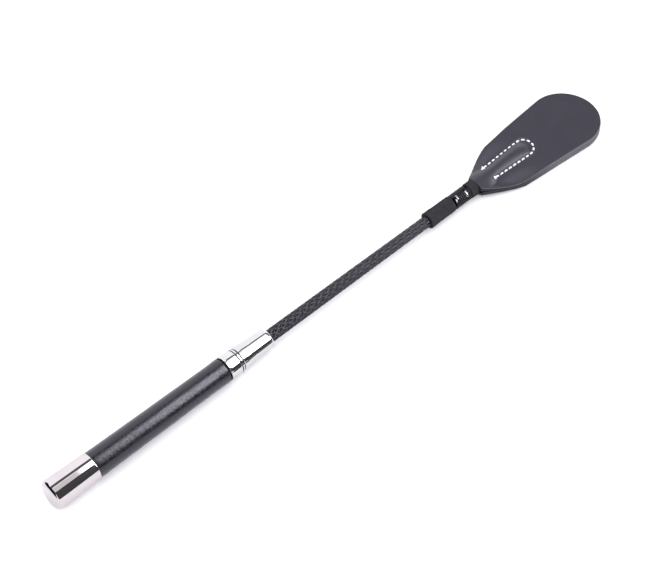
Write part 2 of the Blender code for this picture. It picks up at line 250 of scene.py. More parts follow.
class Surface:
    """One procedural material under construction."""

    def __init__(self, name, colour, roughness, metallic=0.0):
        self.material = bpy.data.materials.new(name)
        self.material.use_nodes = True
        self.tree = self.material.node_tree
        self.shader = self.tree.nodes["Principled BSDF"]
        self.shader.inputs["Base Color"].default_value = (*colour, 1.0)
        self.shader.inputs["Roughness"].default_value = roughness
        self.shader.inputs["Metallic"].default_value = metallic
        self.normal = None

    def set(self, **values):
        """Set shader inputs; an underscore in a name stands for a space."""
        for name, value in values.items():
            self.shader.inputs[name.replace("_", " ")].default_value = value

    def node(self, kind, links=None, values=None, **settings):
        """Add a node with its settings, its input values and its links."""
        made = self.tree.nodes.new(kind)
        for name, value in settings.items():
            setattr(made, name, value)
        for name, value in (values or {}).items():
            made.inputs[name].default_value = value
        for name, source in (links or {}).items():
            self.tree.links.new(source, made.inputs[name])
        return made

    def where(self, scale, space="Object"):
        """Surface position, in units of one over scale."""
        place = self.node("ShaderNodeTexCoord")
        stretch = self.node("ShaderNodeMapping", {"Vector": place.outputs[space]})
        stretch.inputs["Scale"].default_value = scale
        return stretch.outputs["Vector"]

    def noise(self, scale, detail=3.0, roughness=0.55, space="Object"):
        """Soft noise from 0 to 1."""
        made = self.node("ShaderNodeTexNoise", {"Vector": self.where(scale, space)},
                         {"Scale": 1.0, "Detail": detail, "Roughness": roughness})
        return made.outputs["Fac"]

    def cells(self, scale):
        """Distance from the middle of each cell of a pebbled grain."""
        made = self.node("ShaderNodeTexVoronoi", {"Vector": self.where(scale)},
                         {"Scale": 1.0}, feature="F1")
        return made.outputs["Distance"]

    def remap(self, value, low, high, to_low, to_high):
        """Carry a value from one range to another."""
        made = self.node("ShaderNodeMapRange", {"Value": value},
                         {"From Min": low, "From Max": high, "To Min": to_low, "To Max": to_high})
        return made.outputs["Result"]

    def product(self, first, second):
        """One value times another."""
        made = self.node("ShaderNodeMath", operation="MULTIPLY")
        for socket, value in zip(made.inputs, (first, second)):
            self.tree.links.new(value, socket)
        return made.outputs["Value"]

    def colours(self, value, stops):
        """Colour along a ramp of (position, colour) stops."""
        made = self.node("ShaderNodeValToRGB", {"Fac": value})
        ramp = made.color_ramp
        while len(ramp.elements) < len(stops):
            ramp.elements.new(0.5)
        for element, (position, colour) in zip(ramp.elements, stops):
            element.position = position
            element.color = (*colour, 1.0)
        self.tree.links.new(made.outputs["Color"], self.shader.inputs["Base Color"])

    def rough(self, value):
        """Drive the roughness by a value."""
        self.tree.links.new(value, self.shader.inputs["Roughness"])

    def bump(self, height, distance, strength):
        """Lay fine relief over any relief that is there already."""
        links = {"Height": height}
        if self.normal is not None:
            links["Normal"] = self.normal
        made = self.node("ShaderNodeBump", links, {"Strength": strength, "Distance": distance})
        self.normal = made.outputs["Normal"]
        self.tree.links.new(self.normal, self.shader.inputs["Normal"])


def per_mm(*sizes):
    """Texture scale for features of the given sizes in millimetres."""
    if len(sizes) == 1:
        sizes = sizes * 3
    return tuple(1.0 / (size * MM) for size in sizes)


def chrome(name, bright, dull):
    """Polished plating with faint smudges and fine lengthwise scratches."""
    look = Surface(name, bright, 0.06, 1.0)
    smudge = look.noise(per_mm(9.0))
    scratch = look.noise(per_mm(14.0, 0.12, 0.12), detail=2.0)
    look.rough(look.remap(smudge, 0.35, 0.75, 0.03, 0.09))
    look.colours(smudge, [(0.3, bright), (0.75, dull)])
    look.bump(scratch, 0.002 * MM, 0.5)
    return look.material


def grip_leather():
    """Slightly shiny leather whose polish comes and goes."""
    look = Surface("grip_leather", (0.006, 0.0056, 0.01), 0.3)
    tone = look.noise(per_mm(6.0))
    grain = look.cells(per_mm(2.0, 1.5, 1.5))
    pores = look.noise(per_mm(0.5), detail=3.0)
    patch = look.noise(per_mm(3.0, 2.0, 2.0), detail=4.0, roughness=0.7)
    look.colours(tone, [(0.3, (0.0025, 0.0024, 0.0055)), (0.7, (0.005, 0.0047, 0.0095))])
    look.rough(look.remap(patch, 0.35, 0.65, 0.2, 0.36))
    look.bump(grain, 0.09 * MM, 0.5)
    look.bump(pores, 0.02 * MM, 0.5)
    look.set(Specular_IOR_Level=0.54, Specular_Tint=COOL_SHEEN)
    return look.material


def popper_leather():
    """Matt dark grey leather with a fine grain."""
    look = Surface("popper_leather", (0.028, 0.023, 0.042), 0.5)
    tone = look.noise(per_mm(12.0), detail=4.0)
    grain = look.cells(per_mm(0.55))
    fine = look.noise(per_mm(0.22), detail=3.0)
    look.colours(tone, [(0.25, (0.0125, 0.011, 0.02)), (0.75, (0.0165, 0.0145, 0.025))])
    look.rough(look.remap(fine, 0.3, 0.7, 0.38, 0.48))
    look.bump(grain, 0.03 * MM, 0.5)
    look.bump(fine, 0.02 * MM, 0.5)
    look.set(Specular_IOR_Level=0.4, Specular_Tint=(0.94, 0.92, 1.0, 1.0))
    return look.material


def cut_edge():
    """The dyed cut edge of the leather, with painted shade that darkens it toward the neck, where the
    layers part round the rod.
    """
    look = Surface("popper_cut_edge", (0.05, 0.048, 0.058), 0.55)
    fibre = look.noise(per_mm(1.6, 1.6, 0.3), detail=5.0, roughness=0.7)
    place = look.node("ShaderNodeTexCoord")
    parts = look.node("ShaderNodeSeparateXYZ", {"Vector": place.outputs["Object"]})
    first = POPPER_START + SKIVE_START
    last = POPPER_START + SKIVE_END
    # Painted shade: the edge's colour is dark by the neck and rises toward the free end.
    shade_toward_neck = look.remap(parts.outputs["X"], first, last, 0.12, 1.0)
    look.colours(look.product(fibre, shade_toward_neck),
                 [(0.1, (0.004, 0.004, 0.006)), (0.6, (0.1, 0.096, 0.11))])
    look.bump(fibre, 0.1 * MM, 0.6)
    look.set(Specular_IOR_Level=0.25)
    return look.material


def braid_nylon():
    """Flat shiny yarns with filaments along them."""
    look = Surface("braid_nylon", (0.006, 0.006, 0.009), 0.3)
    fibre = look.noise((90.0, 4.0, 1.0), detail=2.0, space="UV")
    tone = look.noise(per_mm(5.0))
    look.colours(look.product(fibre, tone),
                 [(0.12, (0.002, 0.002, 0.0035)), (0.42, (0.006, 0.0058, 0.0095))])
    look.rough(look.remap(fibre, 0.3, 0.7, 0.12, 0.24))
    look.bump(fibre, 0.02 * MM, 0.5)
    look.set(Specular_IOR_Level=0.41, Specular_Tint=COOL_SHEEN)
    return look.material


def neck_textile():
    """Matt black tape with a coarse weave."""
    look = Surface("neck_textile", (0.008, 0.007, 0.013), 0.7)
    weave = look.noise(per_mm(1.6, 0.32, 0.32), detail=3.0)
    tone = look.noise(per_mm(3.0))
    look.colours(tone, [(0.3, (0.003, 0.0027, 0.0055)), (0.7, (0.009, 0.008, 0.016))])
    look.bump(weave, 0.2 * MM, 0.9)
    look.set(Specular_IOR_Level=0.25)
    return look.material


def waxed_thread():
    """Dull black thread with its plies showing."""
    look = Surface("waxed_thread", (0.006, 0.006, 0.007), 0.45)
    ply = look.noise((3.0, 40.0, 1.0), detail=2.0, space="UV")
    look.colours(ply, [(0.3, (0.002, 0.002, 0.003)), (0.7, (0.008, 0.008, 0.01))])
    look.rough(look.remap(ply, 0.3, 0.7, 0.34, 0.55))
    look.bump(ply, 0.06 * MM, 0.7)
    look.set(Specular_IOR_Level=0.28, Specular_Tint=COOL_SHEEN)
    return look.material


def gloss_thread():
    """The same thread, drowned in lacquer where its ends are sealed."""
    look = Surface("lacquered_thread", (0.01, 0.01, 0.011), 0.2)
    fleck = look.noise(per_mm(2.0))
    look.rough(look.remap(fleck, 0.3, 0.7, 0.12, 0.22))
    look.colours(fleck, [(0.3, (0.006, 0.006, 0.007)), (0.7, (0.015, 0.015, 0.017))])
    look.set(IOR=3.0)
    return look.material


def stitch_cotton():
    """White sewing thread."""
    look = Surface("stitch_thread", (0.82, 0.82, 0.84), 0.65)
    ply = look.noise((2.0, 14.0, 1.0), detail=2.0, space="UV")
    look.colours(ply, [(0.2, (0.6, 0.6, 0.63)), (0.5, (0.8, 0.8, 0.82))])
    look.bump(ply, 0.1 * MM, 0.6)
    return look.material


def moulded_plastic(name, dark, light):
    """Plain plastic for the hidden parts."""
    look = Surface(name, dark, 0.45)
    mottle = look.noise(per_mm(2.5))
    fine = look.noise(per_mm(0.3))
    look.colours(mottle, [(0.3, dark), (0.7, light)])
    look.rough(look.remap(fine, 0.3, 0.7, 0.4, 0.55))
    look.bump(fine, 0.02 * MM, 0.5)
    return look.material


def joint_shade_filler():
    """Near-black fill in the joints of the handle, painted shade in the gaps between its parts."""
    look = Surface("joint_shade_filler", (0.0015, 0.0015, 0.002), 0.8)
    crumb = look.noise(per_mm(0.5))
    look.colours(crumb, [(0.3, (0.001, 0.001, 0.0015)), (0.7, (0.003, 0.003, 0.0035))])
    look.bump(crumb, 0.05 * MM, 0.6)
    look.set(Specular_IOR_Level=0.08)
    return look.material


def fibreglass():
    """Pale ground fibreglass with strands along the rod."""
    look = Surface("fibreglass", (0.62, 0.6, 0.5), 0.4)
    strand = look.noise(per_mm(20.0, 0.2, 0.2), detail=3.0)
    look.colours(strand, [(0.3, (0.5, 0.48, 0.38)), (0.7, (0.7, 0.68, 0.58))])
    look.bump(strand, 0.02 * MM, 0.6)
    return look.material


# ---- mesh helpers

def finish_mesh(name, net, materials, body, nodes):
    """Turn a bmesh into a named piece that stands for CAD nodes and rides on a body.

    A piece without a body is left unattached.
    """
    bmesh.ops.recalc_face_normals(net, faces=net.faces)
    mesh = bpy.data.meshes.new(name)
    net.to_mesh(mesh)
    net.free()
    for material in materials:
        mesh.materials.append(material)
    for face in mesh.polygons:
        face.use_smooth = True
    item = bpy.data.objects.new(name, mesh)
    bpy.context.scene.collection.objects.link(item)
    if nodes:
        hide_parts(*nodes)
    if body is not None:
        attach(item, body)
    return item


def fillet(corners, steps=7):
    """Round the corners of an outline. Each corner is (station, radius, rounding)."""
    points = []
    count = len(corners)
    for i, (station, radius, rounding) in enumerate(corners):
        here = Vector((station, radius))
        if rounding == 0.0:
            points.append(here)
            continue
        before = Vector(corners[i - 1][:2])
        after = Vector(corners[(i + 1) % count][:2])
        back = (before - here).normalized()
        ahead = (after - here).normalized()
        half = back.angle(ahead) / 2.0
        reach = rounding / math.tan(half)
        centre = here + (back + ahead).normalized() * rounding / math.sin(half)
        start = here + back * reach
        end = here + ahead * reach
        points.append(start + back * GUARD)
        for step in range(steps + 1):
            swept = math.pi - 2.0 * half
            share = step / steps
            turned = ((start - centre) * math.sin((1.0 - share) * swept)
                      + (end - centre) * math.sin(share * swept)) / math.sin(swept)
            points.append(centre + turned)
        points.append(end + ahead * GUARD)
    return points


def lathe(net, outline, facets, closed, shape=None, rings_every=None):
    """Turn an outline of (station, radius) points about the long axis.

    A closed outline joins its last point to its first. shape(station, angle, radius) adds to the
    radius, and rings_every is the most that two rings may stand apart.
    """
    points = [Vector(point) for point in outline]
    if rings_every is not None:
        points = divided(points, rings_every, closed)
    uv = net.loops.layers.uv.verify()
    rings = []
    for point in points:
        if point.y < 1e-7:
            rings.append([net.verts.new(on_axis(point.x, 0.0, 0.0))])
            continue
        ring = []
        for facet in range(facets):
            angle = math.tau * facet / facets
            radius = point.y + (shape(point.x, angle, point.y) if shape else 0.0)
            ring.append(net.verts.new(on_axis(point.x, radius, angle)))
        rings.append(ring)
    pairs = list(zip(range(len(rings) - 1), range(1, len(rings))))
    if closed:
        pairs.append((len(rings) - 1, 0))
    for first, second in pairs:
        near, far = rings[first], rings[second]
        for facet in range(facets):
            following = (facet + 1) % facets
            if len(near) == 1:
                corners = (near[0], far[following], far[facet])
            elif len(far) == 1:
                corners = (near[facet], near[following], far[0])
            else:
                corners = (near[facet], near[following], far[following], far[facet])
            face = net.faces.new(corners)
            for loop in face.loops:
                loop[uv].uv = (facet / facets, points[first].x / (10.0 * MM))


def divided(points, step, closed):
    """Split the long stretches of an outline."""
    result = []
    ends = points[1:] + ([points[0]] if closed else [])
    for here, there in zip(points, ends):
        pieces = max(1, round((there - here).length / step))
        for piece in range(pieces):
            result.append(here.lerp(there, piece / pieces))
    if not closed:
        result.append(points[-1])
    return result


def tube(net, path, half_wide, half_thick, facets, outwards):
    """Sweep a flattened round section along a path. outwards(i) is the thin direction there."""
    uv = net.loops.layers.uv.verify()
    rings = []
    travelled = [0.0]
    for before, after in zip(path, path[1:]):
        travelled.append(travelled[-1] + (after - before).length)
    for i, point in enumerate(path):
        ahead = (path[min(i + 1, len(path) - 1)] - path[max(i - 1, 0)]).normalized()
        thin = outwards(i)
        wide = ahead.cross(thin).normalized()
        thin = wide.cross(ahead).normalized()
        ring = []
        for facet in range(facets):
            angle = math.tau * facet / facets
            offset = wide * math.cos(angle) * half_wide + thin * math.sin(angle) * half_thick
            ring.append(net.verts.new(point + offset))
        rings.append(ring)
    for i, (near, far) in enumerate(zip(rings, rings[1:])):
        for facet in range(facets):
            following = (facet + 1) % facets
            face = net.faces.new((near[facet], near[following], far[following], far[facet]))
            left = facet / facets
            right = (facet + 1) / facets
            low = travelled[i] / MM
            high = travelled[i + 1] / MM
            places = ((left, low), (right, low), (right, high), (left, high))
            for loop, place in zip(face.loops, places):
                loop[uv].uv = place
    net.faces.new(rings[0])
    net.faces.new(rings[-1])


# ---- handle

def end_cap(material):
    """Cup over the butt: a rounded end, a gentle taper and a small lip round its mouth."""
    end = span("end_cap")[1]
    radius = radius_of("end_cap")
    rim = radius - CAP_TAPER
    bore = radius - CAP_WALL
    outline = fillet([
        (0.0, 0.0, 0.0),
        (0.0, radius - 0.05 * MM, CAP_CORNER),
        (CAP_BAND, radius - 0.02 * MM, 0.0),
        (end - CAP_BAND, mix(radius, rim, CAP_TAPER_AT_BAND), 0.0),
        (end, rim - 0.1 * MM, CAP_LIP),
        (end, bore, 0.0),
        (CAP_FLOOR, bore, 0.0),
        (CAP_FLOOR, 0.0, 0.0),
    ])
    net = bmesh.new()
    lathe(net, outline, ROUND, False)
    finish_mesh("end_cap_shell", net, [material], "crop", ["end_cap"])


def grip(material):
    """Leather wrap with one butted seam low on its far side and a slight swell at its front."""
    start, end = span("grip_cover")
    rear = radius_of("grip_cover")
    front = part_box("ferrule_collar")[1].y - GRIP_STEP
    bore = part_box("handle_tube")[1].y

    def radius(station):
        share = (station - start) / (end - start)
        taper = mix(rear, front, share ** GRIP_TAPER_POWER)
        flare = GRIP_SWELL * smooth((share - GRIP_SWELL_START) / GRIP_SWELL_REACH)
        return taper + flare

    outline = fillet([
        (start, radius(start), 0.35 * MM),
        (end - GRIP_GAP, radius(end), 0.6 * MM),
        (end - GRIP_GAP, bore + 0.1 * MM, 0.0),
        (start, bore + 0.1 * MM, 0.0),
    ], steps=4)

    def shape(station, angle, level):
        if level < bore + 0.5 * MM:
            return 0.0
        wanted = radius(station) - mix(radius(start), radius(end), (station - start) / (end - start))
        seam = ((angle - SEAM_ANGLE) * rear / SEAM_WIDTH) ** 2
        ripple = noise.noise(Vector((station * 90.0, math.cos(angle) * 1.3, math.sin(angle) * 1.3)))
        pinch = math.exp(-((station - start) / GRIP_PINCH_REACH) ** 2) * GRIP_PINCH
        return wanted - SEAM_DEPTH * math.exp(-seam) + (ripple - 1.0) * GRIP_RIPPLE - pinch

    net = bmesh.new()
    lathe(net, outline, GRIP_FACETS, True, shape, GRIP_RINGS)
    finish_mesh("grip_wrap", net, [material], "crop", ["grip_cover"])


def joint_ring(name, first, last, radius, bore, material):
    """Black ring lying in a joint of the ferrule, as painted shade."""
    net = bmesh.new()
    lathe(net, [(first, radius), (last, radius), (last, bore), (first, bore)], ROUND, True)
    finish_mesh(name, net, [material], "crop", [])


def ferrule(material, joint_shade):
    """Chrome collar and barrel, with black rings of painted shade in the joints before, between and after
    them.
    """
    start, end = span("ferrule_collar")
    radius = radius_of("ferrule_collar")
    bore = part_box("handle_tube")[1].y - 0.6 * MM
    inside = bore + 0.7 * MM
    first = start - GRIP_GAP - 0.6 * MM
    # Painted shade: near-black rings fill the gap behind the collar and the joints in the chrome.
    joint_ring("grip_joint", first, start + 0.3 * MM, radius - JOINT_DEPTH, inside, joint_shade)
    sunk = 1.7 * JOINT_DEPTH
    joint_ring("collar_joint", end - 0.5 * MM, end + 0.4 * MM, radius - sunk, inside, joint_shade)
    net = bmesh.new()
    lathe(net, fillet([
        (start, radius - 0.1 * MM, 0.4 * MM),
        (start + 1.6 * MM, radius, 0.3 * MM),
        (end - 1.9 * MM, radius - 0.05 * MM, 0.0),
        (end - 0.15 * MM, radius - 0.25 * MM, 0.5 * MM),
        (end - 0.15 * MM, bore, 0.0),
        (start, bore, 0.0),
    ]), ROUND, True)
    finish_mesh("ferrule_ring", net, [material], "crop", ["ferrule_collar"])

    start, end = span("ferrule_barrel")
    radius = radius_of("ferrule_barrel")
    shaft = radius_of("shaft_braid")
    mouth = shaft + 0.3 * MM
    bore = radius - BARREL_WALL
    lip = start + BARREL_LIP
    groove = start + BARREL_GROOVE_END
    joint_ring("barrel_joint", lip, groove, radius - 0.42 * MM, bore, joint_shade)
    net = bmesh.new()
    lathe(net, fillet([
        (start + 0.15 * MM, radius - 0.2 * MM, 0.35 * MM),
        (lip, radius - 0.2 * MM, 0.35 * MM),
        (start + 1.9 * MM, radius - 0.8 * MM, 0.2 * MM),
        (groove, radius - 0.1 * MM, 0.3 * MM),
        (start + 5.5 * MM, radius, 8.0 * MM),
        (start + 13.0 * MM, radius - 0.75 * MM, 25.0 * MM),
        (end - 3.5 * MM, radius - 1.05 * MM, 0.0),
        (end, radius - 1.5 * MM, 1.9 * MM),
        (end, mouth, 0.3 * MM),
        (end - 3.2 * MM, mouth, 0.0),
        (end - 3.2 * MM, bore, 0.0),
        (start + 0.15 * MM, bore, 0.0),
    ]), ROUND, True)
    finish_mesh("ferrule_sleeve", net, [material], "crop", ["ferrule_barrel"])


# ---- shaft

def braid_radius(station):
    """Outer radius of the braid, which thins evenly from the ferrule to the neck."""
    start = span("ferrule_barrel")[1]
    end = span("neck_sleeve")[0]
    rear = radius_of("shaft_braid")
    front = radius_of("neck_sleeve") - BRAID_BELOW_SLEEVE
    share = min(max((station - start) / (end - start), 0.0), 1.0)
    return mix(rear, front, share)


def braid(material):
    """Flat yarns in two directions, each passing over two and under two of the others."""
    start, end = span("shaft_braid")
    stop = span("neck_sleeve")[0] + 2.0 * MM
    crossing = BRAID_LAY / (2 * BRAID_YARNS)
    steps = 5
    count = round((stop - start) / crossing) * steps
    net = bmesh.new()
    for direction in (1, -1):
        for yarn in range(BRAID_YARNS):
            path = []
            normals = []
            for i in range(count + 1):
                station = start + (stop - start) * i / count
                turn = (station - start) / BRAID_LAY
                angle = math.tau * (direction * turn + yarn / BRAID_YARNS)
                crossed = 2 * yarn + direction * (station - start) / crossing
                over = direction * math.sin(math.pi / 2.0 * (crossed + 0.5))
                level = braid_radius(station) - YARN_WAVE - YARN_THICKNESS / 2.0
                level += YARN_WAVE * over
                path.append(on_axis(station, level, angle))
                normals.append(ABOVE * math.cos(angle) + SIDE * math.sin(angle))
            tube(net, path, YARN_WIDTH / 2.0, YARN_THICKNESS / 2.0, YARN_FACETS, lambda i: normals[i])
    finish_mesh("braid_yarns", net, [material], "crop", ["shaft_braid"])

    rod = radius_of("shaft_rod")
    inner = rod + 0.01 * MM
    outer = rod + 0.08 * MM
    net = bmesh.new()
    lathe(net, [(start, outer), (end, outer), (end, inner), (start, inner)], SLENDER, True)
    finish_mesh("braid_lining", net, [material], "crop", [])


# ---- neck

def neck(textile, thread, gloss):
    """Tape sleeve, thread wound in close turns with a few lacquered spots, and a plain band."""
    start, end = span("neck_sleeve")
    rear = radius_of("neck_sleeve")
    front = radius_of("neck_whipping")
    bore = braid_radius(start) + 0.25 * MM

    def woven(station, angle, level):
        if level < bore + 0.4 * MM:
            return 0.0
        ribs = math.cos(angle * TAPE_RIBS) * RIB_HEIGHT
        fray = noise.noise(Vector((station * 700.0, math.cos(angle) * 4.0, math.sin(angle) * 4.0)))
        return ribs + fray * FRAY

    net = bmesh.new()
    lathe(net, fillet([
        (start, rear, 0.5 * MM),
        (start + 8.0 * MM, mix(rear, front, 0.75), 0.0),
        (end, front, 0.4 * MM),
        (end, bore, 0.0),
        (start, bore, 0.0),
    ], steps=4), TAPE_FACETS, True, woven, TAPE_RINGS)
    finish_mesh("neck_sleeve_tape", net, [textile], "crop", ["neck_sleeve"])

    start, end = span("neck_whipping")
    radius = radius_of("neck_whipping")
    level = radius - THREAD / 2.0
    pitch = (end - start - THREAD) / WHIPPING_TURNS

    def coil(first, last, proud):
        """The winding from one turn to another, standing proud by a little."""
        path = []
        normals = []
        for i in range(int((last - first) * STEPS_PER_TURN) + 1):
            turn = first + i / STEPS_PER_TURN
            angle = math.tau * turn
            station = start + THREAD / 2.0 + pitch * turn
            path.append(on_axis(station, level + proud, angle))
            normals.append(ABOVE * math.cos(angle) + SIDE * math.sin(angle))
        net = bmesh.new()
        thick = THREAD / 2.0 + proud
        tube(net, path, thick, thick, THREAD_FACETS, lambda i: normals[i])
        return net

    # Each piece: its name, first and last turn, material, and how far it stands proud.
    pieces = [
        ("whipping_rear", 0.0, 0.84, thread, 0.0),
        ("whipping_seal_rear", 0.86, 0.96, gloss, 0.05 * MM),
        ("whipping_seal_middle", 1.9, 2.01, gloss, 0.25 * MM),
        ("whipping_front", 2.03, WHIPPING_TURNS - 2.2, thread, 0.0),
        ("whipping_seal_front", WHIPPING_TURNS - 2.16, WHIPPING_TURNS - 2.02, gloss, 0.45 * MM),
        ("whipping_last", WHIPPING_TURNS - 1.98, WHIPPING_TURNS, thread, 0.0),
    ]
    for name, first, last, look, proud in pieces:
        nodes = ["neck_whipping"] if name == "whipping_front" else []
        finish_mesh(name, coil(first, last, proud), [look], "crop", nodes)
    finish_mesh("whipping_between", coil(0.98, 1.88, 0.0), [thread], "crop", [])

    start, end = span("neck_band")
    radius = radius_of("neck_band")
    net = bmesh.new()
    lathe(net, fillet([
        (start, radius - 0.1 * MM, 0.6 * MM),
        (end, radius, 0.6 * MM),
        (end, bore, 0.0),
        (start, bore, 0.0),
    ], steps=4), TAPE_FACETS, True, woven, TAPE_RINGS)
    finish_mesh("neck_band_tape", net, [textile], "crop", ["neck_band"])


# ---- popper

POPPER_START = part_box("popper_top_root")[0].x
POPPER_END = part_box("popper_top_flap")[1].x
POPPER_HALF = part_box("popper_top_flap")[1].y
WIDEST = POPPER_END - POPPER_HALF


def half_width(x):
    """Half the popper's width at x."""
    if x > WIDEST:
        reach = min((x - WIDEST) / POPPER_HALF, 1.0)
        return POPPER_HALF * math.sqrt(1.0 - reach * reach)
    shoulder = POPPER_START + SHOULDER_LENGTH
    width = mix(POPPER_HALF * SHOULDER_SHARE, POPPER_HALF, (x - shoulder) / (WIDEST - shoulder))
    if x < shoulder:
        ahead = (shoulder - x) / SHOULDER_LENGTH
        width -= NECK_INSET * ahead ** INSET_POWER
    return width


def stitch_half(along):
    """Half the width of the U of stitching; its arms draw together toward the neck."""
    return mix(STITCH_NECK_HALF, STITCH_HALF, smooth((along - STITCH_START) / (STITCH_BEND - STITCH_START)))


def stitch_route(distance):
    """Point and direction at a distance along the U of stitching, from its +Y end."""
    arm = STITCH_BEND - STITCH_START
    bend = math.pi * STITCH_HALF
    if distance < arm:
        along = STITCH_START + distance
        return Vector((POPPER_START + along, STITCH_SHIFT + stitch_half(along))), Vector((1.0, 0.0))
    if distance > arm + bend:
        along = STITCH_BEND - (distance - arm - bend)
        return Vector((POPPER_START + along, STITCH_SHIFT - stitch_half(along))), Vector((-1.0, 0.0))
    angle = math.pi / 2.0 - (distance - arm) / STITCH_HALF
    centre = Vector((POPPER_START + STITCH_BEND, STITCH_SHIFT))
    spoke = Vector((math.cos(angle), math.sin(angle)))
    return centre + spoke * STITCH_HALF, Vector((spoke.y, -spoke.x))


def stitch_total():
    """Length of the U of stitching."""
    return 2.0 * (STITCH_BEND - STITCH_START) + math.pi * STITCH_HALF


def stitch_dent(x, y):
    """How far the stitching pulls the leather in at (x, y)."""
    along = x - POPPER_START
    aside = y - STITCH_SHIFT
    if along > STITCH_BEND:
        away = abs(math.hypot(along - STITCH_BEND, aside) - STITCH_HALF)
    else:
        behind = max(STITCH_START - along, 0.0)
        away = math.hypot(abs(aside) - stitch_half(along), behind)
    return STITCH_DENT * math.exp(-(away / STITCH_DENT_WIDTH) ** 2)


def side_rise(rises, x, y):
    """A rise that changes evenly from the popper's +Y edge to its -Y edge."""
    return mix(rises[0], rises[1], 0.5 - 0.5 * y / half_width(x))


def edge_top(x, y):
    """Height of the upper layer's face at the popper's outer edge on the side where y lies."""
    along = x - POPPER_START
    neck = side_rise(NECK_TOP_RISE, x, y) * (1.0 - smooth(along / NECK_TOP_REACH))
    return SHOULDER_TOP + neck + TIP_TOP_RISE * smooth((along - SKIVE_START) / (SKIVE_END - SKIVE_START))


def thickness(along):
    """Thickness of the lower layer, which is skived thin toward the neck."""
    return mix(SKIVED, FULL_LEATHER, smooth((along - SKIVE_START) / (SKIVE_END - SKIVE_START)))


def ridge(x, y, widen):
    """Share of the soft ridge over the rod, from 0 beside it to 1 on its crest."""
    along = x - POPPER_START
    spread = RIDGE_SPREAD * (1.0 - smooth(along / RIDGE_SPREAD_REACH))
    across = (y - STITCH_SHIFT * min(along / STITCH_BEND, 1.0)) / (stitch_half(along) + spread + widen)
    beyond = max(along - (RIDGE_LENGTH - RIDGE_FADE), 0.0) / RIDGE_FADE
    reach = across * across + beyond * beyond
    if reach >= 1.0:
        return 0.0
    return 1.0 - reach


def unevenness(x, y, seed):
    """Slight waviness of the leather."""
    slow = noise.noise(Vector((x * 55.0, y * 55.0, seed)))
    quick = noise.noise(Vector((x * 260.0, y * 260.0, seed + 5.0)))
    return slow * 0.16 * MM + quick * 0.03 * MM


def inward(x, y):
    """0 at the popper's outer edge, 1 beside the stitching."""
    wide = half_width(x)
    margin = max(wide - STITCH_HALF, 1.0 * MM)
    return smooth((wide - abs(y)) / margin)


def upper_level(x, y, widen):
    """Height of the upper layer's face before the stitching pulls it in."""
    along = x - POPPER_START
    edge = edge_top(x, y)
    middle = max(MIDDLE_LEVEL - edge, 0.0) * inward(x, y)
    crest = CREST_AT_NECK - CREST_FALL * min(along / RIDGE_LENGTH, 1.0)
    return mix(edge + middle, crest, ridge(x, y, widen)) + unevenness(x, y, 1.0)


def upper_face(x, y):
    """Height of the upper layer's outer side."""
    return upper_level(x, y, 0.2 * MM) - stitch_dent(x, y)


def upper_back(x, y):
    """Height of the upper layer's inner side."""
    rim = math.copysign(half_width(x), y)
    sunk = edge_top(x, rim) - lower_face(x, rim) - LAYER_GAP
    return upper_level(x, y, -1.1 * MM) - sunk


def cradle(x, y):
    """Rise of the lower layer's sides where they wrap up round the rod near the neck."""
    fade = 1.0 - smooth((x - POPPER_START) / CRADLE_REACH)
    return side_rise(CRADLE_RISE, x, y) * fade * min(abs(y) / half_width(x), 1.0) ** 2


def lower_face(x, y):
    """Height of the lower layer's inner side."""
    return FLOOR_GAP + thickness(x - POPPER_START) + cradle(x, y)


def lower_back(x, y):
    """Height of the lower layer's outer side, which lies on the floor."""
    return FLOOR_GAP + stitch_dent(x, y) + cradle(x, y) + abs(unevenness(x, y, 9.0)) * 0.3


def drift(x):
    """How far the popper's centre line leans to -Y at x."""
    along = x - POPPER_START
    share = along / (POPPER_END - POPPER_START)
    return DRIFT[0] * (1.0 - smooth(along / DRIFT_REACH)) + DRIFT[1] * share ** 3


def under_stitch_level(x, y):
    """Where the thread runs below the lower layer, always clear of the surface beneath."""
    return max(lower_back(x, y), FLOOR_GAP + 0.6 * STITCH_THICKNESS)


def leaned(x, y):
    """Plan position of a point of the popper once its lean and skew are in."""
    share = (x - POPPER_START) / (POPPER_END - POPPER_START)
    return x - SKEW * y * share ** 3, y * FULLNESS - drift(x)


def popper_rows():
    """Where the rows of the popper's mesh lie; they draw together toward its free end."""
    rows = 150
    crowd_from = 0.8
    crowded = 0.2
    stations = []
    for i in range(rows + 1):
        share = i / rows
        if share > crowd_from:
            past = (share - crowd_from) / crowded
            share = crowd_from + crowded * math.sin(past * math.pi / 2.0)
        stations.append(mix(POPPER_START, POPPER_END - RIM, share))
    return stations


def inset(x):
    """Half the popper's width at x, inside its rounded rim."""
    if x > WIDEST:
        reach = min((x - WIDEST) / (POPPER_HALF - RIM), 1.0)
        return (POPPER_HALF - RIM) * math.sqrt(1.0 - reach * reach)
    return half_width(x) - RIM


def leather_sheet(net, height):
    """One side of a layer, from rim to rim, as rows of vertices."""
    columns = 72
    grid = []
    for x in popper_rows():
        wide = inset(x)
        if wide < 1e-6:
            grid.append([net.verts.new((*leaned(x, 0.0), height(x, 0.0)))])
            continue
        row = []
        for j in range(columns + 1):
            y = wide * (2.0 * j / columns - 1.0)
            row.append(net.verts.new((*leaned(x, y), height(x, y))))
        grid.append(row)
    for near, far in zip(grid, grid[1:]):
        for j in range(columns):
            if len(far) == 1:
                net.faces.new((near[j], near[j + 1], far[0]))
            else:
                net.faces.new((near[j], near[j + 1], far[j + 1], far[j]))
    return grid


def border(grid):
    """The outline of a sheet, from its -Y corner at the neck round to its +Y corner."""
    right = [row[0] for row in grid]
    left = [row[-1] for row in reversed(grid) if len(row) > 1]
    return right + left


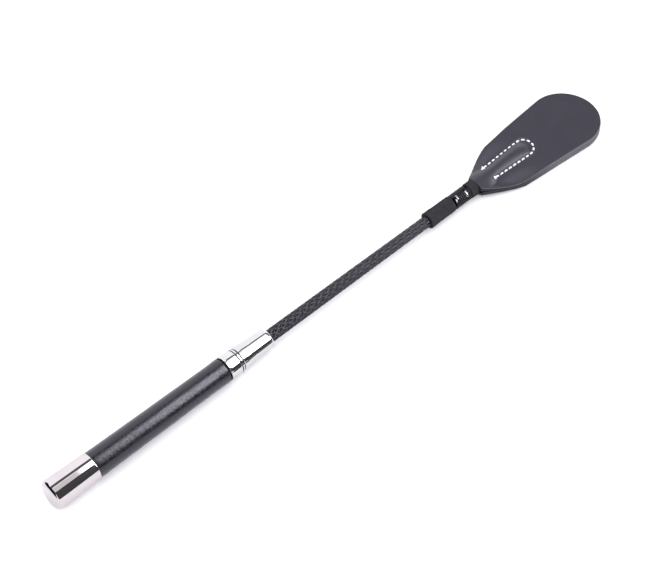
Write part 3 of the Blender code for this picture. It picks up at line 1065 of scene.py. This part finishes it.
def edge_levels():
    """Levels of a cut edge from top to bottom.

    Each is how far out it stands, its share of the upper corner, and how far down it is: up to 1
    along the straight part, and from there to 2 round the lower corner.
    """
    arcs = 4
    levels = []
    for step in range(1, arcs + 1):
        angle = math.pi / 2.0 * step / arcs
        levels.append((math.sin(angle) * RIM, 1.0 - math.cos(angle), 0.0))
    levels += [(RIM * EDGE_BULGE, 1.0, 0.35), (RIM * EDGE_BULGE, 1.0, 0.65)]
    for step in range(arcs):
        angle = math.pi / 2.0 * step / arcs
        levels.append((math.cos(angle) * RIM, 1.0, 1.0 + math.sin(angle)))
    return levels


def edge_loops(net, top, bottom):
    """Loops of vertices that carry the outline round the cut edge from one side to the other."""
    count = len(top)
    outwards = []
    for i in range(count):
        before = top[max(i - 1, 0)].co
        after = top[min(i + 1, count - 1)].co
        ahead = after - before
        outwards.append(Vector((ahead.y, -ahead.x, 0.0)).normalized())
    rounding = RIM * EDGE_ROUNDING
    loops = [top]
    for out, down, along in edge_levels():
        ring = []
        for i in range(count):
            upper = top[i].co.z - rounding * down
            lower = bottom[i].co.z + rounding
            if along <= 1.0:
                z = mix(upper, lower, along)
            else:
                z = bottom[i].co.z + rounding * (2.0 - along)
            flat = top[i].co + outwards[i] * out
            ring.append(net.verts.new((flat.x, flat.y, z)))
        loops.append(ring)
    loops.append(bottom)
    return loops


def leather_layer(name, face_height, back_height, materials, nodes):
    """One leather layer: a face and a back joined by a rounded cut edge."""
    net = bmesh.new()
    face = leather_sheet(net, face_height)
    back = leather_sheet(net, back_height)
    loops = edge_loops(net, border(face), border(back))
    for level, (near, far) in enumerate(zip(loops, loops[1:])):
        for i in range(len(near) - 1):
            made = net.faces.new((near[i], near[i + 1], far[i + 1], far[i]))
            if 2 <= level < len(loops) - 2:
                made.material_index = 1

    # The cut across the neck end, out of sight against the band.
    start_ring = face[0] + [loop[-1] for loop in loops[1:-1]] + list(reversed(back[0]))
    start_ring += [loop[0] for loop in reversed(loops[1:-1])]
    net.faces.new(start_ring)
    return finish_mesh(name, net, materials, None, nodes)


def popper(leather, edge):
    """Both leather layers, each whole across the flex line."""
    upper = leather_layer("popper_upper", upper_face, upper_back, [leather, edge],
                          ["popper_top_root", "popper_top_flap"])
    lower = leather_layer("popper_lower", lower_face, lower_back, [leather, edge],
                          ["popper_bottom_root", "popper_bottom_flap"])
    for layer in (upper, lower):
        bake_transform(layer)


def stitch(net, first, last, height, sign):
    """One stitch from first to last, bowed above the leather and sunk at both ends."""
    path = []
    steps = 8
    for i in range(steps + 1):
        share = i / steps
        place = first.lerp(last, share)
        bow = math.sin(math.pi * share) ** STITCH_ARCH
        level = height(place.x, place.y) + sign * (bow * STITCH_BOW - STITCH_SUNK) * STITCH_THICKNESS
        path.append(Vector((place.x, place.y, level)))
    outside = Vector((0.0, 0.0, sign))
    tube(net, path, STITCH_WIDTH / 2.0, STITCH_THICKNESS / 2.0, STITCH_FACETS, lambda i: outside)


def stitching(name, height, sign, material, node):
    """The U of stitches on one layer. sign is 1 on top of the popper and -1 underneath."""
    net = bmesh.new()
    total = stitch_total()
    count = round(total / STITCH_PITCH)
    pitch = total / count
    for i in range(count):
        middle, ahead = stitch_route((i + 0.5) * pitch)
        half = ahead * STITCH_LENGTH / 2.0
        stitch(net, middle - half, middle + half, height, sign)

    # Crossed stitches that lock both ends: the side, then two points in mm from the end of its arm.
    tacks = [
        (1.0, (-1.0, -1.9), (0.3, 1.3)),
        (1.0, (-2.6, -1.3), (-0.2, -0.8)),
        (-1.0, (-1.2, -0.7), (0.4, 0.7)),
        (-1.0, (-0.8, 0.9), (-0.1, -0.9)),
        (-1.0, (0.2, 0.0), (2.6, 0.1)),
    ]
    for side, first, last in tacks:
        corner = Vector((POPPER_START + STITCH_START, STITCH_SHIFT + side * STITCH_NECK_HALF))
        stitch(net, corner + Vector(first) * MM, corner + Vector(last) * MM, height, sign)
    finish_mesh(name, net, [material], "crop", [node])


# ---- surroundings

def camera():
    """A long lens that looks down on the crop from the butt's side."""
    azimuth = math.radians(CAMERA_AZIMUTH)
    elevation = math.radians(CAMERA_ELEVATION)
    level = math.cos(elevation)
    back = Vector((math.sin(azimuth) * level, -math.cos(azimuth) * level, math.sin(elevation)))
    right = Vector((math.cos(azimuth), math.sin(azimuth), 0.0))
    up = back.cross(right)
    data = bpy.data.cameras.new("camera")
    data.sensor_width = CAMERA_SENSOR
    data.lens = CAMERA_FOCAL
    item = bpy.data.objects.new("camera", data)
    aim = Vector((0.0, 0.0, CAMERA_AIM_HEIGHT)) + right * CAMERA_AIM_RIGHT + up * CAMERA_AIM_UP
    item.location = aim + back * CAMERA_DISTANCE
    item.rotation_euler = Matrix((right, up, back)).transposed().to_euler()
    bpy.context.scene.collection.objects.link(item)
    bpy.context.scene.camera = item


def staged(name, points, faces, material):
    """A piece of the surroundings."""
    mesh = bpy.data.meshes.new(name)
    mesh.from_pydata(points, [], faces)
    mesh.materials.append(material)
    item = bpy.data.objects.new(name, mesh)
    bpy.context.scene.collection.objects.link(item)
    return item


def floor():
    """A wide sheet of pale paper."""
    look = Surface("floor_paper", PAPER, 0.9)
    tone = look.noise(per_mm(300.0))
    look.colours(tone, [(0.3, PAPER), (0.7, (0.945, 0.945, 0.95))])
    corners = [(-1.0, -1.0), (1.0, -1.0), (1.0, 1.0), (-1.0, 1.0)]
    points = [(x * FLOOR_HALF, y * FLOOR_HALF, 0.0) for x, y in corners]
    staged("floor", points, [(0, 1, 2, 3)], look.material)


def card(name, edges, distance, glow):
    """A curved studio card that only shows as a reflection in metal, lacquer and leather."""
    look = Surface(name, CARD_BLACK, 1.0)
    look.set(Specular_IOR_Level=0.0, Emission_Color=(1.0, 1.0, 1.0, 1.0), Emission_Strength=glow)
    panels = 8
    points = []
    for x, first, last in edges:
        for i in range(panels + 1):
            angle = math.radians(mix(first, last, i / panels))
            points.append((x, math.cos(angle) * distance, math.sin(angle) * distance))
    faces = []
    for run in range(len(edges) - 1):
        for i in range(panels):
            corner = run * (panels + 1) + i
            faces.append((corner, corner + 1, corner + panels + 2, corner + panels + 1))
    keep_to_reflections(staged(name, points, faces, look.material))
    return look


def dark_cards():
    """Black cards beyond the butt and beside the ferrule, seen only in the polished metal."""
    look = Surface("dark_card", CARD_BLACK, 1.0)
    look.set(Specular_IOR_Level=0.0)
    points = []
    for x, y in END_CARD:
        points += [(x, y, 0.0), (x, y, END_CARD_HEIGHT)]
    faces = [(2 * i, 2 * i + 2, 2 * i + 3, 2 * i + 1) for i in range(len(END_CARD) - 1)]
    keep_to_reflections(staged("end_card", points, faces, look.material))
    points = [(x, y, LOW_FLAG_HEIGHT) for x, y in LOW_FLAG]
    keep_to_reflections(staged("low_flag", points, [(0, 1, 2, 3)], look.material))


def keep_to_reflections(item):
    """Leave an object to be seen in reflections and nowhere else."""
    item.visible_camera = False
    item.visible_diffuse = False
    item.visible_shadow = False


def lighting():
    """An even pale sky, with the cards that shape the reflections."""
    world = bpy.data.worlds.new("studio")
    world.use_nodes = True
    background = world.node_tree.nodes["Background"]
    background.inputs["Color"].default_value = (1.0, 0.99, 1.03, 1.0)
    background.inputs["Strength"].default_value = SKY_STRENGTH
    bpy.context.scene.world = world
    softbox = card("softbox", SOFTBOX, SOFTBOX_DISTANCE, SOFTBOX_GLOW)
    place = softbox.node("ShaderNodeTexCoord")
    parts = softbox.node("ShaderNodeSeparateXYZ", {"Vector": place.outputs["Object"]})
    fade = softbox.remap(parts.outputs["X"], *REAR_FADE, REAR_GLOW, SOFTBOX_GLOW)
    softbox.tree.links.new(fade, softbox.shader.inputs["Emission Strength"])
    card("side_panel", SIDE_PANEL, CARD_DISTANCE, SIDE_GLOW)
    card("softbox_frame", FRAME_BAR, CARD_DISTANCE, BAR_GLOW)
    card("front_flag", FRONT_FLAG, CARD_DISTANCE, FLAG_GLOW)
    dark_cards()
    bpy.context.scene.view_settings.view_transform = "Standard"


# ---- assembly

def main():
    """Build the surroundings and the crop, and give the hidden parts their materials."""
    camera()
    floor()
    lighting()
    end_cap(chrome("cap_chrome", (0.52, 0.485, 0.494), (0.48, 0.447, 0.456)))
    dark_plastic = moulded_plastic("black_plastic", (0.02, 0.02, 0.022), (0.035, 0.035, 0.038))
    joint_shade = joint_shade_filler()
    ferrule(chrome("ferrule_chrome", (0.525, 0.518, 0.522), (0.485, 0.479, 0.484)), joint_shade)
    grip(grip_leather())
    braid(braid_nylon())
    neck(neck_textile(), waxed_thread(), gloss_thread())
    popper(popper_leather(), cut_edge())
    white = stitch_cotton()
    stitching("stitches_upper", upper_face, 1.0, white, "stitch_thread_top")
    stitching("stitches_lower", under_stitch_level, -1.0, white, "stitch_thread_under")
    pale_plastic = moulded_plastic("white_plastic", (0.68, 0.67, 0.64), (0.76, 0.75, 0.72))
    hidden = {
        "butt_plug": dark_plastic,
        "rod_rear_bush": dark_plastic,
        "ferrule_bush": dark_plastic,
        "rod_tip_cap": dark_plastic,
        "handle_tube": pale_plastic,
        "shaft_rod": fibreglass(),
    }
    for node, material in hidden.items():
        frame["nodes"][node].material_slots[0].material = material


main()
bpy.context.view_layer.update()
